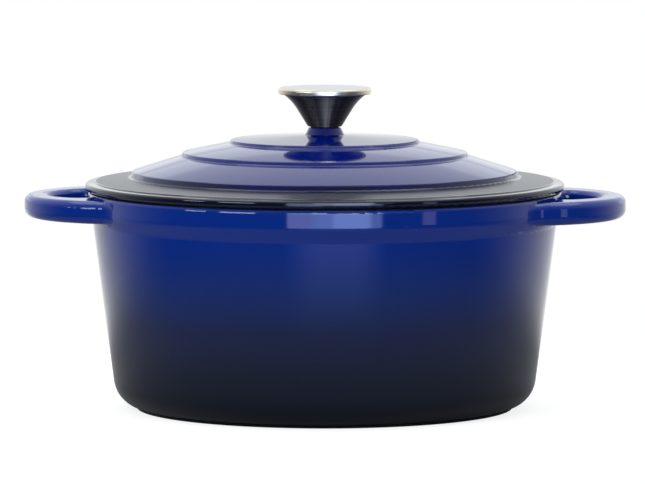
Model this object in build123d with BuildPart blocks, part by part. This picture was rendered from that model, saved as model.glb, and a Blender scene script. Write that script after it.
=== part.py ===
from build123d import *
from math import cos, radians, tan
import os

# A round enamelled cast iron dutch oven. +Z is up and the handles lie along X.
# The origin is the centre of the pot's foot, on the surface it stands on.
# Lengths are in millimetres and slopes in degrees.

# Pot
pot_height = 125.2  # foot to rim
rim_radius = 135.6  # outside of the upright band below the rim
rim_width = 5.8  # land that the lid rests on, with its rounded outer edge
rim_rounding = 3.0
band_height = 11.6  # upright part of the band
band_ease = 7.0  # height over which the band runs into the wall
band_step = 2.9  # how far the wall is set in at the foot of that run
band_rounding = 9.0
wall_draft = 7.4  # lean of the wall
wall_thickness = 3.9
floor_thickness = 4.4
base_corner_radius = 17.0
cavity_corner_radius = 14.0
foot_height = 0.9
foot_width = 7.0
foot_inset = 11.2  # from the corner of wall and base in to the foot ring
foot_rounding = 0.4

# Loop handles, cast with the pot
handle_reach = 36.6  # from the band out to the end of each handle
handle_height = 13.1
handle_drop = 2.5  # from the rim down to the top of the handles
handle_plan_radius = 64.0  # outside of the loop, seen from above
handle_bar = 13.85  # thickness of the loop at its end
finger_plan_radius = 35.3  # inside of the loop, seen from above
handle_edge_rounding = 4.2
handle_under_rounding = 5.0
handle_root_radius = 26.0  # where the outside of the loop meets the pot
finger_corner_radius = 6.0  # where the inside of the loop meets the pot
root_blend = 2.2  # all round each arm, where it enters the pot
join_depth = 0.3  # how far inside the band the plate of the loops ends

# Lid
lid_overhang = 1.4  # how far the lid stands out past the band
lid_edge_height = 4.2
lid_edge_rounding = 1.5
lid_under_rounding = 1.9
lid_wall = 3.6
border_width = 4.8  # plain band at the edge
border_slope = 5.0
border_step = 0.6
border_step_run = 0.7
flange_width = 20.3  # from the border in to the foot of the outer step
flange_slope = 6.6
riser_run = 1.2  # width of each step, seen from above
riser_lip_radius = 1.1
riser_foot_radius = 1.3
outer_riser = 3.2
outer_terrace = 27.6  # width between the outer and the middle step
outer_slope = 17.5
middle_riser = 2.15
middle_terrace = 26.4  # width between the middle and the inner step
middle_slope = 11.6
inner_riser = 1.75
crown_slope = 3.3
boss_radius = 9.2
boss_taper = 2.0
boss_height = 4.5
boss_rounding = 0.9
boss_foot_fillet = 1.8
pad_radius = 14.0  # thick spot under the boss
pad_thickness = 5.4
lip_clearance = 1.0  # between the lid's locating lip and the pot
lip_depth = 5.0
lip_width = 3.6
lip_rounding = 0.8
underside_radius = 1.6

# Knob, a hollow flared shell under a flat cap
gasket_thickness = 0.6
gasket_radius = 8.0
knob_height = 22.4
knob_base_radius = 9.75
knob_base_rounding = 0.8
knob_cone_height = 10.0  # straight part of the side, above the base
knob_cone_lean = 31.8  # of that part, from upright
knob_flare_radius = 24.0  # where the side curves out into the cap
shell_wall = 1.3
cap_radius = 26.8
cap_edge_height = 3.6
cap_edge_lean = 0.4  # how far the edge draws in towards its foot
cap_thickness = 1.4
cap_edge_rounding = 1.3
cap_under_rounding = 0.9
cap_dome = 0.3
cap_clearance = 0.3
insert_flange_radius = 7.6
insert_flange_height = 1.6
insert_radius = 5.0
insert_height = 12.5

# Screw and washers
screw_radius = 3.0
screw_reach = 10.5  # length of thread inside the insert
screw_tip_chamfer = 0.7
thread_clearance = 0.05
screw_hole_clearance = 0.5
head_radius = 6.0
head_height = 3.8
head_rounding = 1.9
recess_width = 1.2
recess_length = 6.4
recess_depth = 2.0
washer_clearance = 0.2
flat_washer_radius = 9.0
flat_washer_thickness = 1.6
lock_washer_radius = 5.9
lock_washer_thickness = 1.6
lock_washer_gap = 1.0
lock_washer_cut_angle = 25.0

# Heights and radii that follow for the pot
band_bottom = pot_height - band_height
wall_top = band_bottom - band_ease
wall_top_radius = rim_radius - band_step
wall_lean = tan(radians(wall_draft))
wall_offset = wall_thickness / cos(radians(wall_draft))
rim_inner_radius = rim_radius - rim_width
cavity_bottom = foot_height + floor_thickness
handle_top = pot_height - handle_drop
handle_bottom = handle_top - handle_height
handle_end = rim_radius + handle_reach
handle_center = handle_end - handle_plan_radius
finger_center = handle_end - handle_bar - finger_plan_radius


def wall_radius(height):
    """Outside radius of the leaning wall."""
    return wall_top_radius - (wall_top - height) * wall_lean


def spin(corners, mode=Mode.ADD):
    """Revolve a closed outline, given as rows of radius, height and corner rounding."""
    points = [(radius, height) for radius, height, rounding in corners]
    roundings = [rounding for radius, height, rounding in corners]
    with BuildSketch(Plane.XZ) as outline:
        with BuildLine():
            FilletPolyline(*points, radius=roundings, close=True)
        make_face()
    revolve(outline.sketch, axis=Axis.Z, mode=mode)


def save(piece, name):
    """Label a finished piece and write it as parts/name.step."""
    piece.part.label = name
    export_step(piece.part, f"parts/{name}.step")


os.makedirs("parts", exist_ok=True)

# Loop handles: one plate with both loops, whose middle is later taken up by the pot
join_radius = rim_radius - join_depth

with BuildSketch(Plane.XY.offset(handle_bottom)) as finger_holes:
    with Locations((finger_center, 0), (-finger_center, 0)):
        Circle(finger_plan_radius)
    Circle(join_radius, mode=Mode.SUBTRACT)
    fillet(finger_holes.vertices(), finger_corner_radius)

with BuildPart() as loops:
    with BuildSketch(Plane.XY.offset(handle_bottom)) as loop_plan:
        Circle(join_radius)
        with Locations((handle_center, 0), (-handle_center, 0)):
            Circle(handle_plan_radius)
        fillet(loop_plan.vertices(), handle_root_radius)
        add(finger_holes.sketch, mode=Mode.SUBTRACT)
    extrude(amount=handle_height)
    fillet(loops.faces().sort_by(Axis.Z)[-1].edges(), handle_edge_rounding)
    fillet(loops.faces().sort_by(Axis.Z)[0].edges(), handle_under_rounding)

# Pot
foot_outer_radius = wall_radius(foot_height) - foot_inset
foot_inner_radius = foot_outer_radius - foot_width
foot_root = cavity_bottom - floor_thickness / 2
cavity_floor_radius = wall_radius(cavity_bottom) - wall_offset
cavity_wall_radius = wall_top_radius - wall_offset

with BuildPart() as foot_ring:
    with BuildSketch():
        Circle(foot_outer_radius)
        Circle(foot_inner_radius, mode=Mode.SUBTRACT)
    extrude(amount=foot_root)
    fillet(foot_ring.edges().group_by(Axis.Z)[0], foot_rounding)

with BuildPart() as pot:
    spin(
        [
            (0, foot_height, 0),
            (wall_radius(foot_height), foot_height, base_corner_radius),
            (wall_top_radius, wall_top, band_rounding),
            (rim_radius, band_bottom, band_rounding),
            (rim_radius, pot_height, rim_rounding),
            (0, pot_height, 0),
        ]
    )
    add(loops.part)
    fillet(pot.edges(Select.NEW), root_blend)
    add(foot_ring.part)
    spin(
        [
            (0, cavity_bottom, 0),
            (cavity_floor_radius, cavity_bottom, cavity_corner_radius),
            (cavity_wall_radius, wall_top, band_rounding),
            (rim_inner_radius, band_bottom, band_rounding),
            (rim_inner_radius, pot_height, 0),
            (0, pot_height, 0),
        ],
        mode=Mode.SUBTRACT,
    )
save(pot, "pot")

# Lid: radii and heights of its steps, from the seat on the pot's rim inwards
seat = pot_height
lid_radius = rim_radius + lid_overhang
border_inner_radius = lid_radius - border_width
border_edge_height = seat + lid_edge_height
border_inner_height = border_edge_height + border_width * tan(radians(border_slope))
flange_radius = border_inner_radius - border_step_run
flange_height = border_inner_height + border_step
outer_foot_radius = flange_radius - flange_width
outer_foot = flange_height + flange_width * tan(radians(flange_slope))
outer_ring_radius = outer_foot_radius - riser_run
outer_lip = outer_foot + outer_riser
middle_foot_radius = outer_ring_radius - outer_terrace
middle_foot = outer_lip + outer_terrace * tan(radians(outer_slope))
middle_ring_radius = middle_foot_radius - riser_run
middle_lip = middle_foot + middle_riser
inner_foot_radius = middle_ring_radius - middle_terrace
inner_foot = middle_lip + middle_terrace * tan(radians(middle_slope))
inner_ring_radius = inner_foot_radius - riser_run
inner_lip = inner_foot + inner_riser
boss_foot_radius = boss_radius + boss_taper
crown = inner_lip + (inner_ring_radius - boss_foot_radius) * tan(radians(crown_slope))
boss_top = crown + boss_height
pad_bottom = crown - pad_thickness
pad_root = crown - (pad_radius - boss_foot_radius) * tan(radians(crown_slope)) - lid_wall
screw_hole_radius = screw_radius + screw_hole_clearance
lip_outer_radius = rim_inner_radius - lip_clearance
lip_inner_radius = lip_outer_radius - lip_width
lip_bottom = seat - lip_depth
lip_root = flange_height + (flange_radius - lip_inner_radius) * tan(radians(flange_slope)) - lid_wall

with BuildPart() as lid:
    spin(
        [
            (screw_hole_radius, pad_bottom, 0),
            (screw_hole_radius, boss_top, 0),
            (boss_radius, boss_top, boss_rounding),
            (boss_foot_radius, crown, boss_foot_fillet),
            (inner_ring_radius, inner_lip, riser_lip_radius),
            (inner_foot_radius, inner_foot, riser_foot_radius),
            (middle_ring_radius, middle_lip, riser_lip_radius),
            (middle_foot_radius, middle_foot, riser_foot_radius),
            (outer_ring_radius, outer_lip, riser_lip_radius),
            (outer_foot_radius, outer_foot, riser_foot_radius),
            (flange_radius, flange_height, border_step / 2),
            (border_inner_radius, border_inner_height, border_step / 2),
            (lid_radius, border_edge_height, lid_edge_rounding),
            (lid_radius, seat, lid_under_rounding),
            (lip_outer_radius, seat, 0),
            (lip_outer_radius, lip_bottom, lip_rounding),
            (lip_inner_radius, lip_bottom, lip_rounding),
            (lip_inner_radius, lip_root, underside_radius),
            (outer_ring_radius, outer_foot - lid_wall, underside_radius),
            (outer_ring_radius - riser_run, outer_lip - lid_wall, underside_radius),
            (middle_ring_radius, middle_foot - lid_wall, underside_radius),
            (middle_ring_radius - riser_run, middle_lip - lid_wall, underside_radius),
            (inner_ring_radius, inner_foot - lid_wall, underside_radius),
            (inner_ring_radius - riser_run, inner_lip - lid_wall, underside_radius),
            (pad_radius, pad_root, 0),
            (pad_radius, pad_bottom, lip_rounding),
        ]
    )
save(lid, "lid")

# Gasket between the lid's boss and the knob
with BuildPart() as knob_gasket:
    with BuildSketch(Plane.XY.offset(boss_top)):
        Circle(gasket_radius)
        Circle(screw_hole_radius, mode=Mode.SUBTRACT)
    extrude(amount=gasket_thickness)
save(knob_gasket, "knob_gasket")

# Knob
knob_base = boss_top + gasket_thickness
knob_top = knob_base + knob_height
cap_edge_top = knob_top - cap_dome
cap_edge_bottom = cap_edge_top - cap_edge_height
cap_seat = cap_edge_top - cap_thickness
cap_inner_radius = knob_flare_radius + cap_clearance
cone_top = knob_base + knob_cone_height
cone_top_radius = knob_base_radius + knob_cone_height * tan(radians(knob_cone_lean))
insert_base = knob_base + shell_wall
insert_bore_radius = screw_radius + thread_clearance

with BuildPart() as knob_shell:
    with BuildSketch(Plane.XZ):
        with BuildLine():
            base = Line((screw_hole_radius, knob_base), (knob_base_radius, knob_base))
            cone = Line(base @ 1, (cone_top_radius, cone_top))
            flare = TangentArc(cone @ 1, (knob_flare_radius, cap_edge_bottom), tangent=cone % 1)
            Line(flare @ 1, (knob_flare_radius, cap_seat))
            offset(amount=shell_wall, side=Side.LEFT)
        make_face()
    revolve(axis=Axis.Z)
    fillet(knob_shell.edges().group_by(Axis.Z)[0].sort_by(SortBy.RADIUS)[-1], knob_base_rounding)
save(knob_shell, "knob_shell")

with BuildPart() as knob_cap:
    spin(
        [
            (0, knob_top, 0),
            (cap_radius, cap_edge_top, cap_edge_rounding),
            (cap_radius - cap_edge_lean, cap_edge_bottom, cap_under_rounding),
            (cap_inner_radius, cap_edge_bottom, 0),
            (cap_inner_radius, cap_seat, 0),
            (0, cap_seat, 0),
        ]
    )
save(knob_cap, "knob_cap")

with BuildPart() as knob_insert:
    spin(
        [
            (insert_bore_radius, insert_base, 0),
            (insert_flange_radius, insert_base, 0),
            (insert_flange_radius, insert_base + insert_flange_height, 0),
            (insert_radius, insert_base + insert_flange_height, 0),
            (insert_radius, insert_base + insert_height, 0),
            (insert_bore_radius, insert_base + insert_height, 0),
        ]
    )
save(knob_insert, "knob_insert")

# Screw and washers, from below the lid up into the knob
lock_washer_base = pad_bottom - flat_washer_thickness - lock_washer_thickness
flat_washer_base = pad_bottom - flat_washer_thickness
head_bottom = lock_washer_base - head_height
screw_end = insert_base + screw_reach
washer_bore_radius = screw_radius + washer_clearance

with BuildPart() as knob_screw:
    spin(
        [
            (0, head_bottom, 0),
            (head_radius, head_bottom, head_rounding),
            (head_radius, lock_washer_base, 0),
            (screw_radius, lock_washer_base, 0),
            (screw_radius, screw_end - screw_tip_chamfer, 0),
            (screw_radius - screw_tip_chamfer, screw_end, 0),
            (0, screw_end, 0),
        ]
    )
    with BuildSketch(Plane.XY.offset(head_bottom)):
        Rectangle(recess_length, recess_width)
        Rectangle(recess_width, recess_length)
    extrude(amount=recess_depth, mode=Mode.SUBTRACT)
save(knob_screw, "knob_screw")

with BuildPart() as lock_washer:
    with BuildSketch(Plane.XY.offset(lock_washer_base)):
        Circle(lock_washer_radius)
        Circle(washer_bore_radius, mode=Mode.SUBTRACT)
    extrude(amount=lock_washer_thickness)
    with Locations((lock_washer_radius, 0, lock_washer_base + lock_washer_thickness / 2)):
        Box(
            lock_washer_radius,
            lock_washer_gap,
            lock_washer_thickness * 3,
            rotation=(lock_washer_cut_angle, 0, 0),
            mode=Mode.SUBTRACT,
        )
save(lock_washer, "lock_washer")

with BuildPart() as flat_washer:
    with BuildSketch(Plane.XY.offset(flat_washer_base)):
        Circle(flat_washer_radius)
        Circle(washer_bore_radius, mode=Mode.SUBTRACT)
    extrude(amount=flat_washer_thickness)
save(flat_washer, "flat_washer")
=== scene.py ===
"""Finishes, studio and camera for an enamelled cast iron dutch oven.

The file is laid out as a Blender add-on and is run as a script. Each operator dresses one piece of
the oven or a group of like pieces, or sets up the studio. Lengths are in metres in the frame of the
CAD model: +Z is up along the axis of pot, lid and knob, and the handles lie along X.
"""

import math
from collections import namedtuple

import bpy
from bpy.props import FloatProperty, FloatVectorProperty, PointerProperty
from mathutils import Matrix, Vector


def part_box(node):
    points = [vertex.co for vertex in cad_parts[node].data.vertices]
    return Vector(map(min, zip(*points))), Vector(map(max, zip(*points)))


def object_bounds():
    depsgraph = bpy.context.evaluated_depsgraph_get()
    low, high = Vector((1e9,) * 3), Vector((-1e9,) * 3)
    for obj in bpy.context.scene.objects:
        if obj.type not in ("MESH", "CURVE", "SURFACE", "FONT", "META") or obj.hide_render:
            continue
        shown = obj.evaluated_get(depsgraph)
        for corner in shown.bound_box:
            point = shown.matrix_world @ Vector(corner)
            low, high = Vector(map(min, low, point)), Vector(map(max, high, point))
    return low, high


bl_info = {
    "name": "Enamelled Dutch Oven",
    "version": (1, 0, 0),
    "blender": (4, 5, 0),
    "location": "View3D > Sidebar > Dutch Oven",
    "description": "Finishes a cast iron dutch oven in vitreous enamel and stainless steel",
    "category": "Object",
}

MM = 0.001

WHITE = "#FFFFFF"
IRON_BLACK = "#060607"
IRON_ROUGHNESS = 0.6
ENAMEL_IOR = 1.5

MULTIPLY = {"operation": "MULTIPLY"}
MULTIPLY_ADD = {"operation": "MULTIPLY_ADD"}
ADD = {"operation": "ADD"}
SUBTRACT = {"operation": "SUBTRACT"}
MAXIMUM = {"operation": "MAXIMUM"}
ABOVE = {"operation": "GREATER_THAN"}
BELOW = {"operation": "LESS_THAN"}
SMOOTH = {"interpolation_type": "SMOOTHSTEP"}
COLOURS = {"data_type": "RGBA"}

# Sockets of a Mix node, whose names aren't unique.
FROM_NUMBER = 2
TO_NUMBER = 3
FROM_COLOUR = 6
TO_COLOUR = 7
MIXED_COLOUR = 2

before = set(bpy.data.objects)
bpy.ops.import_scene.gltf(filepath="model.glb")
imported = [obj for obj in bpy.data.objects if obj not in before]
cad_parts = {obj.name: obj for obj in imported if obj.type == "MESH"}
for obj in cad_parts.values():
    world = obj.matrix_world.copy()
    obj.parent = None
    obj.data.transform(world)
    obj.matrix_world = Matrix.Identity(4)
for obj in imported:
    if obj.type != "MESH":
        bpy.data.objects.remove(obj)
cad_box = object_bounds()
pot_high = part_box("pot")[1]
lid_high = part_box("lid")[1]

Surface = namedtuple("Surface", "place height radius outward normal_out normal_up")


def linear(hex_colour):
    """Turn an sRGB hex colour into linear red, green, blue and alpha."""
    digits = hex_colour.lstrip("#")
    channels = [int(digits[i : i + 2], 16) / 255 for i in (0, 2, 4)]
    light = [c / 12.92 if c <= 0.04045 else ((c + 0.055) / 1.055) ** 2.4 for c in channels]
    return (*light, 1.0)


def add_node(tree, kind, settings=None, inputs=None, stops=None, output=0):
    """Add a node, set its fields, fill or link its inputs and give back one of its outputs."""
    made = tree.nodes.new(kind)
    for name, value in (settings or {}).items():
        setattr(made, name, value)
    for key, value in (inputs or {}).items():
        if isinstance(value, bpy.types.NodeSocket):
            tree.links.new(value, made.inputs[key])
        else:
            made.inputs[key].default_value = value
    if stops:
        ramp = made.color_ramp
        while len(ramp.elements) < len(stops):
            ramp.elements.new(1.0)
        for element, (position, colour) in zip(ramp.elements, stops):
            element.position = position
            element.color = colour
    return made.outputs[output]


class PotFinish(bpy.types.PropertyGroup):
    """Enamel of the pot and its handles."""

    band_blue: FloatVectorProperty(
        name="Band blue",
        description="Enamel on the band, the handles and the upper wall",
        subtype="COLOR",
        size=4,
        min=0,
        max=1,
        default=linear("#002D8D"),
    )
    base_black: FloatVectorProperty(
        name="Base black",
        description="Enamel where the sprayed shade ends, at the base",
        subtype="COLOR",
        size=4,
        min=0,
        max=1,
        default=linear("#000E22"),
    )
    inside_cream: FloatVectorProperty(
        name="Inside",
        description="Smooth enamel of the cooking surface",
        subtype="COLOR",
        size=4,
        min=0,
        max=1,
        default=linear("#E6DCC6"),
    )
    rim_width: FloatProperty(
        name="Rim width",
        description="Land that the lid rests on",
        unit="LENGTH",
        default=5.8 * MM,
        min=0,
    )
    # Partly painted shade: the black down the rounded edge also darkens the gap under the lid's
    # overhang.
    rim_black_and_painted_shade: FloatProperty(
        name="Rim black",
        description="How far the bare black of the rim comes down its rounded edge",
        unit="LENGTH",
        default=1.3 * MM,
        min=0,
    )
    lid_overhang: FloatProperty(
        name="Lid overhang",
        description="How far the lid stands out past the band",
        unit="LENGTH",
        default=1.4 * MM,
        min=0,
    )
    inside_start: FloatProperty(
        name="Inside start",
        description="Height above the ground from which a surface counts as the inside",
        unit="LENGTH",
        default=3.0 * MM,
        min=0,
    )


class LidFinish(bpy.types.PropertyGroup):
    """Enamel of the lid."""

    crown_blue: FloatVectorProperty(
        name="Crown blue",
        description="Enamel on the terraces",
        subtype="COLOR",
        size=4,
        min=0,
        max=1,
        default=linear("#001770"),
    )
    edge_black: FloatVectorProperty(
        name="Edge black",
        description="Enamel on the flange and the edge",
        subtype="COLOR",
        size=4,
        min=0,
        max=1,
        default=linear("#020A26"),
    )
    border_width: FloatProperty(
        name="Border width",
        description="Glossy band at the edge, outside the satin flange",
        unit="LENGTH",
        default=5.5 * MM,
        min=0,
    )
    shade_start: FloatProperty(
        name="Shade start",
        description="Radius at which the blue begins to darken",
        unit="LENGTH",
        default=107.0 * MM,
        min=0,
    )
    shade_end: FloatProperty(
        name="Shade end",
        description="Radius at which the enamel is black",
        unit="LENGTH",
        default=113.0 * MM,
        min=0,
    )
    inner_step: FloatProperty(
        name="Inner step",
        description="Radius of the step round the crown",
        unit="LENGTH",
        default=53.9 * MM,
        min=0,
    )
    outer_step: FloatProperty(
        name="Outer step",
        description="Radius of the step at the flange; the middle step is half-way",
        unit="LENGTH",
        default=110.3 * MM,
        min=0,
    )
    terrace_crown: FloatProperty(
        name="Terrace crown",
        description="How far the middle of each terrace stands proud of a straight slope",
        unit="LENGTH",
        default=0.36 * MM,
        min=0,
    )


class KnobFinish(bpy.types.PropertyGroup):
    """Stainless steel of the knob."""

    # Painted shade: the shell's steel is coloured dark, for the dark room that it mirrors.
    shell_painted_dark_grey: FloatVectorProperty(
        name="Shell",
        description="Turned and brushed steel of the flared body",
        subtype="COLOR",
        size=4,
        min=0,
        max=1,
        default=linear("#3D3A37"),
    )
    # Painted reflection: lighter streaks that stand for the room mirrored round the brushed body.
    painted_reflection_streak_grey: FloatVectorProperty(
        name="Streaks",
        description="Lighter streaks in the brushed body",
        subtype="COLOR",
        size=4,
        min=0,
        max=1,
        default=linear("#6C6865"),
    )
    # How many painted reflection streaks go round the body.
    painted_streak_count: FloatProperty(
        name="Streak count",
        description="Streaks in each radian of the way round the body",
        default=14.0,
        min=1,
    )
    cap_grey: FloatVectorProperty(
        name="Cap",
        description="Satin steel of the top",
        subtype="COLOR",
        size=4,
        min=0,
        max=1,
        default=linear("#C2C3C4"),
    )
    # Painted reflection: the rolled edge is coloured lighter and warmer than the cap, for the warm
    # room that it mirrors.
    edge_painted_straw_reflection: FloatVectorProperty(
        name="Cap edge",
        description="Polished edge of the cap, with a faint straw tint",
        subtype="COLOR",
        size=4,
        min=0,
        max=1,
        default=linear("#E4DAC2"),
    )
    brush_pitch: FloatProperty(
        name="Brush pitch",
        description="Distance between the fine rings that the brush leaves",
        unit="LENGTH",
        default=0.7 * MM,
        min=0.01 * MM,
    )


class StudioLight(bpy.types.PropertyGroup):
    """Camera, floor and mirrored room."""

    camera_distance: FloatProperty(
        name="Camera distance",
        description="Level distance from the axis of the oven",
        unit="LENGTH",
        default=3.8,
        min=0.5,
    )
    camera_height: FloatProperty(
        name="Camera height",
        description="Height over the floor",
        unit="LENGTH",
        default=0.432,
        min=0,
    )
    camera_turn: FloatProperty(
        name="Camera turn",
        description="How far the camera stands round towards the right handle",
        subtype="ANGLE",
        default=math.radians(2.4),
    )
    ceiling_start: FloatProperty(
        name="Ceiling start",
        description="Sine of the height at which the dark front of the room begins to brighten",
        default=0.72,
        min=0,
        max=1,
    )
    ceiling_end: FloatProperty(
        name="Ceiling end",
        description="Sine of the height at which the room is white all round",
        default=0.95,
        min=0,
        max=1,
    )
    lens: FloatProperty(
        name="Lens",
        description="Focal length in millimetres on a 36 mm wide sensor",
        default=371.7,
        min=20,
    )
    floor_radius: FloatProperty(
        name="Floor radius",
        description="Size of the round table top",
        unit="LENGTH",
        default=0.5,
        min=0.2,
    )
    floor_lift: FloatProperty(
        name="Floor lift",
        description="Plain white that the camera sees on top of the lit floor",
        default=0.82,
        min=0,
    )
    aim_height: FloatProperty(
        name="Aim height",
        description="Height of the point that the camera looks at",
        unit="LENGTH",
        default=0.095,
    )
    aim_side: FloatProperty(
        name="Aim side",
        description="How far right of the axis the camera looks",
        unit="LENGTH",
        default=-0.0013,
    )


def surface_position(tree):
    """Give a point's place, height and radius, the level way out to it from the axis, and the outward
    and upward parts of its normal, all in the frame of the piece."""
    place = add_node(tree, "ShaderNodeTexCoord", output="Object")
    normal = add_node(tree, "ShaderNodeTexCoord", output="Normal")
    height = add_node(tree, "ShaderNodeSeparateXYZ", inputs={"Vector": place}, output="Z")
    flat = add_node(tree, "ShaderNodeVectorMath", MULTIPLY, {0: place, 1: (1, 1, 0)})
    radius = add_node(
        tree, "ShaderNodeVectorMath", {"operation": "LENGTH"}, {0: flat}, output="Value"
    )
    outward = add_node(tree, "ShaderNodeVectorMath", {"operation": "NORMALIZE"}, {0: flat})
    normal_out = add_node(
        tree,
        "ShaderNodeVectorMath",
        {"operation": "DOT_PRODUCT"},
        {0: normal, 1: outward},
        output="Value",
    )
    normal_up = add_node(tree, "ShaderNodeSeparateXYZ", inputs={"Vector": normal}, output="Z")
    return Surface(place, height, radius, outward, normal_out, normal_up)


def new_material(name):
    """Make a material and give back it, its node tree and its principled shader."""
    material = bpy.data.materials.new(name)
    material.use_nodes = True
    tree = material.node_tree
    return material, tree, tree.nodes["Principled BSDF"]


def dress(node_name, material):
    """Give a CAD node its material."""
    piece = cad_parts[node_name]
    piece.data.materials.clear()
    piece.data.materials.append(material)


def enamel_relief(tree, place):
    """Faint waves of fired enamel, with a finer orange peel on them."""
    wave_pitch = 9 * MM
    wave_height = 0.10 * MM
    peel_pitch = 1.4 * MM
    peel_height = 0.02 * MM
    wave = add_node(
        tree, "ShaderNodeTexNoise", inputs={"Vector": place, "Scale": 1 / wave_pitch, "Detail": 1.0}
    )
    peel = add_node(
        tree, "ShaderNodeTexNoise", inputs={"Vector": place, "Scale": 1 / peel_pitch, "Detail": 2.0}
    )
    waves = add_node(
        tree, "ShaderNodeBump", inputs={"Strength": 0.10, "Distance": wave_height, "Height": wave}
    )
    return add_node(
        tree,
        "ShaderNodeBump",
        inputs={"Strength": 0.05, "Distance": peel_height, "Height": peel, "Normal": waves},
    )


class OVEN_OT_pot(bpy.types.Operator):
    """Dress the pot and its handles in fired enamel"""

    bl_idname = "oven.pot"
    bl_label = "Pot"

    def execute(self, context):
        finish = context.scene.oven_pot
        # Vitreous enamel, sprayed and fired on cast iron: a deep glossy glass coat whose blue is
        # sprayed over into black towards the base, smooth cream inside, matt black on the rim.
        material, tree, shader = new_material("vitreous_enamel_blue_to_black")
        at = surface_position(tree)

        # The shade goes by the share of the pot's height and wanders a little, in broad patches.
        patch_size = 60 * MM
        wander = 0.03
        patch = add_node(
            tree,
            "ShaderNodeTexNoise",
            inputs={"Vector": at.place, "Scale": 1 / patch_size, "Detail": 2.0},
        )
        level = add_node(
            tree, "ShaderNodeMapRange", inputs={"Value": at.height, "From Max": pot_high.z}
        )
        drift = add_node(
            tree,
            "ShaderNodeMapRange",
            inputs={"Value": patch, "To Min": -wander, "To Max": wander},
        )
        shade = add_node(tree, "ShaderNodeMath", ADD, {0: level, 1: drift})
        outside = add_node(
            tree,
            "ShaderNodeValToRGB",
            inputs={"Fac": shade},
            stops=[
                (0.09, finish.base_black),
                (0.22, linear("#00112E")),
                (0.29, linear("#001438")),
                (0.43, linear("#00194A")),
                (0.64, linear("#002A78")),
                (0.82, finish.band_blue),
            ],
        )

        # The inside is what faces the axis within the rim, above the foot.
        coat_edge = 0.2 * MM
        rim_inner = lid_high.y - finish.lid_overhang - finish.rim_width
        facing_in = add_node(tree, "ShaderNodeMath", SUBTRACT, {0: at.normal_up, 1: at.normal_out})
        inward = add_node(tree, "ShaderNodeMath", ABOVE, {0: facing_in, 1: 0.0})
        within = add_node(
            tree,
            "ShaderNodeMapRange",
            SMOOTH,
            {
                "Value": at.radius,
                "From Min": rim_inner + 2 * coat_edge,
                "From Max": rim_inner + coat_edge,
            },
        )
        off_ground = add_node(
            tree,
            "ShaderNodeMapRange",
            SMOOTH,
            {
                "Value": at.height,
                "From Min": finish.inside_start,
                "From Max": finish.inside_start + coat_edge,
            },
        )
        held = add_node(tree, "ShaderNodeMath", MULTIPLY, {0: within, 1: off_ground})
        inside = add_node(tree, "ShaderNodeMath", MULTIPLY, {0: held, 1: inward})

        # Bare black iron shows on the land of the rim and where the foot touches the ground. Where it
        # runs down the rim's rounded edge, the black is also painted shade for the gap under the lid's
        # overhang.
        rim_fade = 0.3 * finish.rim_black_and_painted_shade
        rim_low = pot_high.z - finish.rim_black_and_painted_shade
        worn_height = 0.1 * MM
        worn_fade = 0.15 * MM
        rim_zone = add_node(
            tree,
            "ShaderNodeMapRange",
            SMOOTH,
            {"Value": at.height, "From Min": rim_low, "From Max": rim_low + rim_fade},
        )
        past_inside = add_node(
            tree,
            "ShaderNodeMapRange",
            SMOOTH,
            {"Value": at.radius, "From Min": rim_inner, "From Max": rim_inner + coat_edge / 2},
        )
        land = add_node(tree, "ShaderNodeMath", MULTIPLY, {0: rim_zone, 1: past_inside})
        ground = add_node(
            tree,
            "ShaderNodeMapRange",
            SMOOTH,
            {"Value": at.height, "From Min": worn_height + worn_fade, "From Max": worn_height},
        )
        bare = add_node(tree, "ShaderNodeMath", MAXIMUM, {0: land, 1: ground})

        enamel = add_node(
            tree,
            "ShaderNodeMix",
            COLOURS,
            {"Factor": inside, FROM_COLOUR: outside, TO_COLOUR: finish.inside_cream},
            output=MIXED_COLOUR,
        )
        colour = add_node(
            tree,
            "ShaderNodeMix",
            COLOURS,
            {"Factor": bare, FROM_COLOUR: enamel, TO_COLOUR: linear(IRON_BLACK)},
            output=MIXED_COLOUR,
        )
        outside_roughness = 0.06
        inside_roughness = 0.16
        gloss = add_node(
            tree,
            "ShaderNodeMix",
            inputs={"Factor": inside, FROM_NUMBER: outside_roughness, TO_NUMBER: inside_roughness},
        )
        roughness = add_node(
            tree,
            "ShaderNodeMix",
            inputs={"Factor": bare, FROM_NUMBER: gloss, TO_NUMBER: IRON_ROUGHNESS},
        )
        tree.links.new(colour, shader.inputs["Base Color"])
        tree.links.new(roughness, shader.inputs["Roughness"])
        tree.links.new(enamel_relief(tree, at.place), shader.inputs["Normal"])
        shader.inputs["IOR"].default_value = ENAMEL_IOR
        dress("pot", material)
        return {"FINISHED"}


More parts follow.
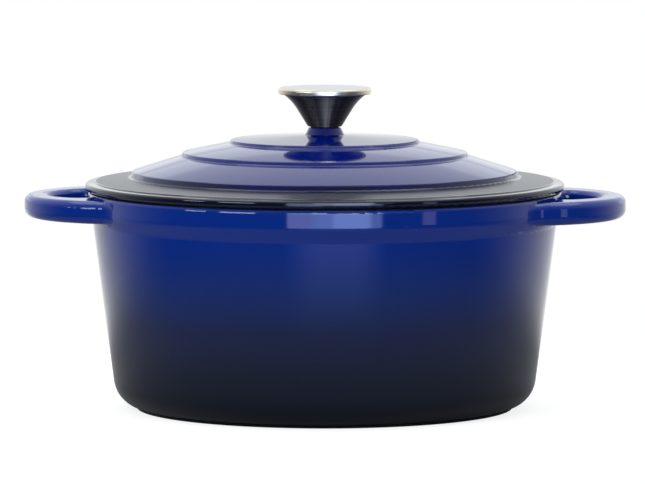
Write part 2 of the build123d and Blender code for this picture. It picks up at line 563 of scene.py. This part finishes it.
class OVEN_OT_lid(bpy.types.Operator):
    """Dress the lid in fired enamel"""

    bl_idname = "oven.lid"
    bl_label = "Lid"

    def execute(self, context):
        finish = context.scene.oven_lid
        pot = context.scene.oven_pot
        # Vitreous enamel, sprayed and fired on cast iron: blue glass over the terraces, sprayed
        # over into black on the flange and the edge, cream underneath.
        material, tree, shader = new_material("vitreous_enamel_blue_crown")
        at = surface_position(tree)

        # The blue gives way to black by radius, and that border wanders a little.
        patch_size = 40 * MM
        wander = 2 * MM
        patch = add_node(
            tree,
            "ShaderNodeTexNoise",
            inputs={"Vector": at.place, "Scale": 1 / patch_size, "Detail": 2.0},
        )
        drift = add_node(
            tree,
            "ShaderNodeMapRange",
            inputs={"Value": patch, "To Min": -wander, "To Max": wander},
        )
        spread = add_node(tree, "ShaderNodeMath", ADD, {0: at.radius, 1: drift})
        dark = add_node(
            tree,
            "ShaderNodeMapRange",
            SMOOTH,
            {"Value": spread, "From Min": finish.shade_start, "From Max": finish.shade_end},
        )
        outside = add_node(
            tree,
            "ShaderNodeMix",
            COLOURS,
            {"Factor": dark, FROM_COLOUR: finish.crown_blue, TO_COLOUR: finish.edge_black},
            output=MIXED_COLOUR,
        )

        # The underside is what faces down or inward, and all that hangs below the rim of the pot.
        # It is cream to just past the locating lip, and bare iron where the lid sits on the rim.
        seat = pot_high.z
        hanging_below = seat - 0.2 * MM
        seated_below = seat + 0.1 * MM
        turned_under_limit = -0.1
        rim_to_limit = 0.9 * MM
        lip_limit = lid_high.y - pot.lid_overhang - pot.rim_width - rim_to_limit
        facing = add_node(tree, "ShaderNodeMath", ADD, {0: at.normal_out, 1: at.normal_up})
        turned_under = add_node(tree, "ShaderNodeMath", BELOW, {0: facing, 1: turned_under_limit})
        hanging = add_node(tree, "ShaderNodeMath", BELOW, {0: at.height, 1: hanging_below})
        hidden = add_node(tree, "ShaderNodeMath", MAXIMUM, {0: turned_under, 1: hanging})
        in_lip = add_node(tree, "ShaderNodeMath", BELOW, {0: at.radius, 1: lip_limit})
        past_lip = add_node(tree, "ShaderNodeMath", ABOVE, {0: at.radius, 1: lip_limit})
        under = add_node(tree, "ShaderNodeMath", MULTIPLY, {0: hidden, 1: in_lip})
        seated = add_node(tree, "ShaderNodeMath", BELOW, {0: at.height, 1: seated_below})
        land = add_node(tree, "ShaderNodeMath", MULTIPLY, {0: past_lip, 1: seated})
        enamel = add_node(
            tree,
            "ShaderNodeMix",
            COLOURS,
            {"Factor": under, FROM_COLOUR: outside, TO_COLOUR: pot.inside_cream},
            output=MIXED_COLOUR,
        )
        colour = add_node(
            tree,
            "ShaderNodeMix",
            COLOURS,
            {"Factor": land, FROM_COLOUR: enamel, TO_COLOUR: linear(IRON_BLACK)},
            output=MIXED_COLOUR,
        )

        # The overspray on the flange fires to satin; the terraces and the edge stay glossy.
        satin_start = finish.outer_step + 0.9 * MM
        satin_full = finish.outer_step + 3.0 * MM
        border = lid_high.y - finish.border_width
        border_fade = 1.0 * MM
        gloss_roughness = 0.07
        satin_roughness = 0.31
        flange_start = add_node(
            tree,
            "ShaderNodeMapRange",
            SMOOTH,
            {"Value": at.radius, "From Min": satin_start, "From Max": satin_full},
        )
        flange_end = add_node(
            tree,
            "ShaderNodeMapRange",
            SMOOTH,
            {"Value": at.radius, "From Min": border, "From Max": border - border_fade},
        )
        satin = add_node(tree, "ShaderNodeMath", MULTIPLY, {0: flange_start, 1: flange_end})
        gloss = add_node(
            tree,
            "ShaderNodeMix",
            inputs={"Factor": satin, FROM_NUMBER: gloss_roughness, TO_NUMBER: satin_roughness},
        )
        roughness = add_node(
            tree,
            "ShaderNodeMix",
            inputs={"Factor": land, FROM_NUMBER: gloss, TO_NUMBER: IRON_ROUGHNESS},
        )

        # The two terraces are cast slightly crowned from one step to the next. A share times what
        # is left of it makes an arch that peaks at a quarter, so the height is divided by that.
        terraces = 2.0
        arch_peak = 0.25
        across = add_node(
            tree,
            "ShaderNodeMapRange",
            inputs={
                "Value": at.radius,
                "From Min": finish.inner_step,
                "From Max": finish.outer_step,
                "To Max": terraces,
            },
        )
        along = add_node(tree, "ShaderNodeMath", {"operation": "FRACT"}, {0: across})
        left_over = add_node(tree, "ShaderNodeMath", SUBTRACT, {0: 1.0, 1: along})
        arch = add_node(tree, "ShaderNodeMath", MULTIPLY, {0: along, 1: left_over})
        crowned = add_node(
            tree,
            "ShaderNodeBump",
            inputs={
                "Distance": finish.terrace_crown / arch_peak,
                "Height": arch,
                "Normal": enamel_relief(tree, at.place),
            },
        )
        tree.links.new(colour, shader.inputs["Base Color"])
        tree.links.new(roughness, shader.inputs["Roughness"])
        tree.links.new(crowned, shader.inputs["Normal"])
        shader.inputs["IOR"].default_value = ENAMEL_IOR
        dress("lid", material)
        return {"FINISHED"}


class OVEN_OT_knob(bpy.types.Operator):
    """Dress the knob's shell and cap in stainless steel"""

    bl_idname = "oven.knob"
    bl_label = "Knob"

    def execute(self, context):
        finish = context.scene.oven_knob
        # Stainless steel, spun and brushed while turning: fine rings round the flared body that
        # draw its reflections out into streaks from base to flare. The rings are drawn further
        # apart than real ones, so that they show.
        material, tree, shader = new_material("stainless_steel_brushed_shell")
        at = surface_position(tree)
        ring_height = 0.01 * MM
        rings = add_node(
            tree,
            "ShaderNodeTexNoise",
            {"noise_dimensions": "1D"},
            {"W": at.height, "Scale": 1 / finish.brush_pitch, "Detail": 3.0},
        )
        # The steel's colour is painted: dark as shade for the dark room it mirrors, with lighter
        # painted reflection streaks by the way round, mixed with the real brush rings.
        streaks = add_node(
            tree,
            "ShaderNodeTexNoise",
            inputs={"Vector": at.outward, "Scale": finish.painted_streak_count, "Detail": 2.0},
        )
        painted_streaks_and_brush_rings = add_node(tree, "ShaderNodeMath", ADD, {0: streaks, 1: rings})
        tone = add_node(
            tree, "ShaderNodeMapRange", inputs={"Value": painted_streaks_and_brush_rings, "From Min": 0.7, "From Max": 1.3}
        )
        steel = add_node(
            tree,
            "ShaderNodeMix",
            COLOURS,
            {"Factor": tone, FROM_COLOUR: finish.shell_painted_dark_grey, TO_COLOUR: finish.painted_reflection_streak_grey},
            output=MIXED_COLOUR,
        )
        rough = add_node(
            tree, "ShaderNodeMapRange", inputs={"Value": rings, "To Min": 0.46, "To Max": 0.54}
        )
        relief = add_node(
            tree, "ShaderNodeBump", inputs={"Strength": 0.3, "Distance": ring_height, "Height": rings}
        )
        around = add_node(tree, "ShaderNodeTangent", {"direction_type": "RADIAL", "axis": "Z"})
        tree.links.new(steel, shader.inputs["Base Color"])
        tree.links.new(rough, shader.inputs["Roughness"])
        tree.links.new(relief, shader.inputs["Normal"])
        tree.links.new(around, shader.inputs["Tangent"])
        shader.inputs["Metallic"].default_value = 1.0
        shader.inputs["Anisotropic"].default_value = 0.95
        shader.inputs["Anisotropic Rotation"].default_value = 0.25
        dress("knob_shell", material)

        # Stainless steel, pressed: satin on the flat top, polished where the edge is rolled over.
        # The satin's grain is drawn coarser than real, so that it shows.
        material, tree, shader = new_material("stainless_steel_satin_cap")
        at = surface_position(tree)
        grain_size = 0.5 * MM
        grain_height = 0.01 * MM
        polished_roughness = 0.3
        grain = add_node(
            tree,
            "ShaderNodeTexNoise",
            inputs={"Vector": at.place, "Scale": 1 / grain_size, "Detail": 3.0},
        )
        satin = add_node(
            tree, "ShaderNodeMapRange", inputs={"Value": grain, "To Min": 0.32, "To Max": 0.42}
        )
        edge = add_node(
            tree,
            "ShaderNodeMapRange",
            SMOOTH,
            {"Value": at.normal_out, "From Min": 0.45, "From Max": 0.85},
        )
        polish = add_node(
            tree,
            "ShaderNodeMix",
            inputs={"Factor": edge, FROM_NUMBER: satin, TO_NUMBER: polished_roughness},
        )
        # The edge's lighter straw colour is painted reflection of the warm room; its lower roughness
        # is the real polish.
        steel = add_node(
            tree,
            "ShaderNodeMix",
            COLOURS,
            {"Factor": edge, FROM_COLOUR: finish.cap_grey, TO_COLOUR: finish.edge_painted_straw_reflection},
            output=MIXED_COLOUR,
        )
        relief = add_node(
            tree, "ShaderNodeBump", inputs={"Strength": 0.2, "Distance": grain_height, "Height": grain}
        )
        tree.links.new(steel, shader.inputs["Base Color"])
        tree.links.new(polish, shader.inputs["Roughness"])
        tree.links.new(relief, shader.inputs["Normal"])
        shader.inputs["Metallic"].default_value = 1.0
        dress("knob_cap", material)
        return {"FINISHED"}


class OVEN_OT_fasteners(bpy.types.Operator):
    """Dress the black ring under the knob, the insert, screw and washers"""

    bl_idname = "oven.fasteners"
    bl_label = "Fasteners"

    def execute(self, context):
        # Stainless steel, rolled and machined: even, slightly dull, with fine marks.
        material, tree, shader = new_material("stainless_steel_machined")
        mark_size = 0.4 * MM
        place = add_node(tree, "ShaderNodeTexCoord", output="Object")
        marks = add_node(
            tree, "ShaderNodeTexNoise", inputs={"Vector": place, "Scale": 1 / mark_size, "Detail": 4.0}
        )
        rough = add_node(
            tree, "ShaderNodeMapRange", inputs={"Value": marks, "To Min": 0.22, "To Max": 0.38}
        )
        tree.links.new(rough, shader.inputs["Roughness"])
        shader.inputs["Base Color"].default_value = linear("#BDBDBF")
        shader.inputs["Metallic"].default_value = 1.0
        for node_name in ("knob_insert", "knob_screw", "lock_washer", "flat_washer"):
            dress(node_name, material)

        # Matt black that hardly reflects, on the thin ring that darkens the line between the knob and
        # the lid.
        material, tree, shader = new_material("matt_black_knob_ring")
        skin_size = 0.3 * MM
        place = add_node(tree, "ShaderNodeTexCoord", output="Object")
        skin = add_node(
            tree, "ShaderNodeTexNoise", inputs={"Vector": place, "Scale": 1 / skin_size, "Detail": 2.0}
        )
        rough = add_node(
            tree, "ShaderNodeMapRange", inputs={"Value": skin, "To Min": 0.6, "To Max": 0.75}
        )
        tree.links.new(rough, shader.inputs["Roughness"])
        shader.inputs["Base Color"].default_value = linear("#101012")
        dress("knob_gasket", material)
        return {"FINISHED"}


# Softboxes that the gloss mirrors. Each row holds degrees round from the camera's side towards the
# right handle (from, to), degrees over the horizon (from, to), degrees over which the sides fade,
# strength and colour.
SOFTBOXES = (
    # The tall window in front, in two halves, and its bluer lower part.
    (-5.5, 4.0, -2, 32, 1.2, 6.6, "#DCECF4"),
    (4.0, 24.0, -2, 32, 1.2, 7.6, "#DCECF4"),
    (-5.5, 4.0, -18, -2, 2.5, 5.4, "#A8C0FF"),
    (4.0, 22.0, -18, -2, 2.5, 7.8, "#A8C0FF"),
    (22.0, 27.5, -18, -2, 2.0, 4.0, "#A8C0FF"),
    # Its glow off the table top.
    (-12.0, 24.0, -32, -18, 20, 0.9, "#C0D0FF"),
    # The dimmer pane left of it, upper and lower part.
    (-18.0, -5.5, 0, 20, 1.2, 4.5, "#D6EAFF"),
    (-18.0, -5.5, -18, 0, 1.2, 3.8, "#C0CBFF"),
    # Two narrow boxes far to the left and two faint ones to the right.
    (-52.0, -34.0, 3, 16, 1.2, 8.0, "#E6F2FF"),
    (-71.0, -60.0, 3, 12, 1.2, 8.0, "#E6F2FF"),
    (48.0, 55.0, -10, 14, 1.2, 1.6, "#C8C4F0"),
    (28.0, 33.0, 0, 14, 1.2, 2.0, "#C8C4F0"),
)

# Softboxes of the same kind that stand on both sides of the room, given for the right.
PAIRED_SOFTBOXES = (
    # Faint broad boxes behind.
    (140.0, 195.0, 13, 46, 8, 0.2, "#E4F8FF"),
    # High boxes at the sides.
    (80.0, 155.0, 52, 84, 20, 1.6, "#F4FFFF"),
    # Low strips behind.
    (140.0, 178.0, 5, 12, 2, 0.4, "#E4F8FF"),
    (165.0, 195.0, 14, 24, 6, 0.3, "#E4F8FF"),
)

# Degrees over which a softbox fades at its top and its foot.
LEVEL_FADE = 2.0


def light_panel(name, place, aim, width, height, power):
    """Hang a rectangular soft light that faces a point and that the gloss doesn't mirror."""
    data = bpy.data.lights.new(name, "AREA")
    data.shape = "RECTANGLE"
    data.size = width
    data.size_y = height
    data.energy = power
    panel = bpy.data.objects.new(name, data)
    bpy.context.scene.collection.objects.link(panel)
    panel.location = place
    panel.rotation_mode = "QUATERNION"
    panel.rotation_quaternion = (panel.location - aim).to_track_quat("Z", "Y")
    panel.visible_glossy = False


def studio_camera(scene, studio):
    """Stand the camera in front of the oven and make it the scene's."""
    data = bpy.data.cameras.new("studio_camera")
    data.lens = studio.lens
    data.sensor_width = 36.0
    data.clip_start = 0.1
    data.clip_end = 50.0
    camera = bpy.data.objects.new("studio_camera", data)
    scene.collection.objects.link(camera)
    turn = studio.camera_turn
    camera.location = (
        studio.camera_distance * math.sin(turn),
        -studio.camera_distance * math.cos(turn),
        studio.camera_height,
    )
    aim = Vector(
        (
            studio.aim_side * math.cos(turn),
            studio.aim_side * math.sin(turn),
            studio.aim_height,
        )
    )
    camera.rotation_mode = "QUATERNION"
    camera.rotation_quaternion = (camera.location - aim).to_track_quat("Z", "Y")
    scene.camera = camera


def studio_floor(scene, studio):
    """Lay a round table top that turns plain white towards its edge, like the room behind."""
    corners = 96
    reach = studio.floor_radius
    fade_start = 0.5 * reach
    fade_end = 0.95 * reach
    angles = [2 * math.pi * i / corners for i in range(corners)]
    points = [(reach * math.cos(angle), reach * math.sin(angle), 0) for angle in angles]
    mesh = bpy.data.meshes.new("studio_floor")
    mesh.from_pydata(points, [], [list(range(corners))])
    floor = bpy.data.objects.new("studio_floor", mesh)
    scene.collection.objects.link(floor)

    # Matt paint, rolled: pale and even, with no gloss. The camera sees a plain white on top of it,
    # and past the fade white alone, where every other ray goes through into the open room.
    material, tree, shader = new_material("painted_floor_pale")
    at = surface_position(tree)
    shader.inputs["Base Color"].default_value = linear("#A2A2A2")
    shader.inputs["Roughness"].default_value = 0.9
    shader.inputs["Specular IOR Level"].default_value = 0.0
    camera_ray = add_node(tree, "ShaderNodeLightPath", output="Is Camera Ray")
    lift = add_node(tree, "ShaderNodeMath", MULTIPLY, {0: camera_ray, 1: studio.floor_lift})
    glow = add_node(tree, "ShaderNodeEmission", inputs={"Color": linear(WHITE), "Strength": lift})
    near = add_node(tree, "ShaderNodeAddShader", inputs={0: shader.outputs[0], 1: glow})
    white = add_node(tree, "ShaderNodeEmission", inputs={"Color": linear(WHITE), "Strength": 1.0})
    open_room = add_node(tree, "ShaderNodeBsdfTransparent")
    beyond = add_node(
        tree, "ShaderNodeMixShader", inputs={"Fac": camera_ray, 1: open_room, 2: white}
    )
    far = add_node(
        tree,
        "ShaderNodeMapRange",
        SMOOTH,
        {"Value": at.radius, "From Min": fade_start, "From Max": fade_end},
    )
    mixed = add_node(tree, "ShaderNodeMixShader", inputs={"Fac": far, 1: near, 2: beyond})
    tree.links.new(mixed, tree.nodes["Material Output"].inputs["Surface"])
    mesh.materials.append(material)


def studio_world(scene, studio):
    """Make the world: even light for the diffuse coats, and a room that the gloss mirrors."""
    world = bpy.data.worlds.new("studio_world")
    scene.world = world
    world.use_nodes = True
    tree = world.node_tree
    direction = add_node(tree, "ShaderNodeTexCoord", output="Generated")
    right = add_node(tree, "ShaderNodeSeparateXYZ", inputs={"Vector": direction}, output="X")
    back = add_node(tree, "ShaderNodeSeparateXYZ", inputs={"Vector": direction}, output="Y")
    rise = add_node(tree, "ShaderNodeSeparateXYZ", inputs={"Vector": direction}, output="Z")
    toward = add_node(tree, "ShaderNodeMath", MULTIPLY, {0: back, 1: -1.0})
    turned = add_node(tree, "ShaderNodeMath", {"operation": "ARCTAN2"}, {0: right, 1: toward})
    above = add_node(tree, "ShaderNodeMath", {"operation": "ARCSINE"}, {0: rise})

    # The room is dark in front and turns white towards the back and the ceiling.
    front = add_node(
        tree,
        "ShaderNodeValToRGB",
        inputs={"Fac": rise},
        stops=[
            (0.02, linear("#4A4E56")),
            (0.25, linear("#7E7462")),
            (studio.ceiling_start, linear("#8A8070")),
            (studio.ceiling_end, linear(WHITE)),
        ],
    )
    rise_as_depth = 0.8
    dark_until = -0.4
    white_from = 0.95
    depth = add_node(tree, "ShaderNodeMath", MULTIPLY_ADD, {0: rise, 1: rise_as_depth, 2: back})
    rear = add_node(
        tree,
        "ShaderNodeMapRange",
        SMOOTH,
        {"Value": depth, "From Min": dark_until, "From Max": white_from},
    )
    room = add_node(
        tree,
        "ShaderNodeMix",
        COLOURS,
        {"Factor": rear, FROM_COLOUR: front, TO_COLOUR: linear(WHITE)},
        output=MIXED_COLOUR,
    )

    boxes = list(SOFTBOXES)
    for left, right_end, *rest in PAIRED_SOFTBOXES:
        boxes.append((left, right_end, *rest))
        boxes.append((-right_end, -left, *rest))
    for left, right_end, low, high, side_fade, strength, colour in boxes:
        spans = []
        for value, start, end, fade, shift in (
            (turned, left, right_end, side_fade, studio.camera_turn),
            (above, low, high, LEVEL_FADE, 0.0),
        ):
            half_fade = math.radians(fade) / 2
            start = math.radians(start) + shift
            end = math.radians(end) + shift
            past_start = add_node(
                tree,
                "ShaderNodeMapRange",
                SMOOTH,
                {"Value": value, "From Min": start - half_fade, "From Max": start + half_fade},
            )
            before_end = add_node(
                tree,
                "ShaderNodeMapRange",
                SMOOTH,
                {"Value": value, "From Min": end + half_fade, "From Max": end - half_fade},
            )
            spans.append(add_node(tree, "ShaderNodeMath", MULTIPLY, {0: past_start, 1: before_end}))
        wide, tall = spans
        share = add_node(tree, "ShaderNodeMath", MULTIPLY, {0: wide, 1: tall})
        tint = tuple(strength * channel for channel in linear(colour)[:3])
        room = add_node(tree, "ShaderNodeVectorMath", MULTIPLY_ADD, {0: share, 1: tint, 2: room})

    # The camera sees plain white, gloss and glass see the room, and the rest gets the even light.
    camera_ray = add_node(tree, "ShaderNodeLightPath", output="Is Camera Ray")
    glossy_ray = add_node(tree, "ShaderNodeLightPath", output="Is Glossy Ray")
    through_ray = add_node(tree, "ShaderNodeLightPath", output="Is Transmission Ray")
    mirrored = add_node(tree, "ShaderNodeMath", MAXIMUM, {0: glossy_ray, 1: through_ray})
    lit = add_node(
        tree,
        "ShaderNodeMix",
        COLOURS,
        {"Factor": mirrored, FROM_COLOUR: linear("#CDCFD4"), TO_COLOUR: room},
        output=MIXED_COLOUR,
    )
    seen = add_node(
        tree,
        "ShaderNodeMix",
        COLOURS,
        {"Factor": camera_ray, FROM_COLOUR: lit, TO_COLOUR: linear(WHITE)},
        output=MIXED_COLOUR,
    )
    tree.links.new(seen, tree.nodes["Background"].inputs["Color"])


class OVEN_OT_studio(bpy.types.Operator):
    """Set up the floor, the lights and the camera"""

    bl_idname = "oven.studio"
    bl_label = "Studio"

    def execute(self, context):
        scene = context.scene
        studio = scene.oven_studio
        scene.view_settings.view_transform = "Standard"
        studio_camera(scene, studio)
        studio_floor(scene, studio)
        studio_world(scene, studio)
        middle = (cad_box[0] + cad_box[1]) / 2
        light_panel(
            "overhead_softbox", place=(0.0, 0.5, 1.5), aim=middle, width=1.8, height=1.4, power=10.0
        )
        light_panel(
            "front_softbox", place=(-0.9, -1.6, 1.2), aim=middle, width=0.9, height=0.9, power=10.0
        )
        return {"FINISHED"}


class OVEN_PT_panel(bpy.types.Panel):
    """Sidebar panel of the dutch oven"""

    bl_idname = "OVEN_PT_panel"
    bl_label = "Dutch Oven"
    bl_space_type = "VIEW_3D"
    bl_region_type = "UI"
    bl_category = "Dutch Oven"

    def draw(self, context):
        layout = self.layout
        for operator, group_name in STEPS:
            layout.operator(operator.bl_idname)
            if group_name:
                group = getattr(context.scene, group_name)
                for prop in group.bl_rna.properties:
                    if prop.identifier not in ("rna_type", "name"):
                        layout.prop(group, prop.identifier)


STEPS = (
    (OVEN_OT_pot, "oven_pot"),
    (OVEN_OT_lid, "oven_lid"),
    (OVEN_OT_knob, "oven_knob"),
    (OVEN_OT_fasteners, None),
    (OVEN_OT_studio, "oven_studio"),
)

GROUPS = (
    ("oven_pot", PotFinish),
    ("oven_lid", LidFinish),
    ("oven_knob", KnobFinish),
    ("oven_studio", StudioLight),
)


def register():
    """Register the property groups, the operators and the panel."""
    for name, group in GROUPS:
        bpy.utils.register_class(group)
        setattr(bpy.types.Scene, name, PointerProperty(type=group))
    for operator, _ in STEPS:
        bpy.utils.register_class(operator)
    bpy.utils.register_class(OVEN_PT_panel)


def unregister():
    """Take everything back that register added."""
    bpy.utils.unregister_class(OVEN_PT_panel)
    for operator, _ in reversed(STEPS):
        bpy.utils.unregister_class(operator)
    for name, group in reversed(GROUPS):
        delattr(bpy.types.Scene, name)
        bpy.utils.unregister_class(group)


def main():
    """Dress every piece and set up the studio."""
    register()
    bpy.ops.oven.pot()
    bpy.ops.oven.lid()
    bpy.ops.oven.knob()
    bpy.ops.oven.fasteners()
    bpy.ops.oven.studio()


if __name__ == "__main__":
    main()
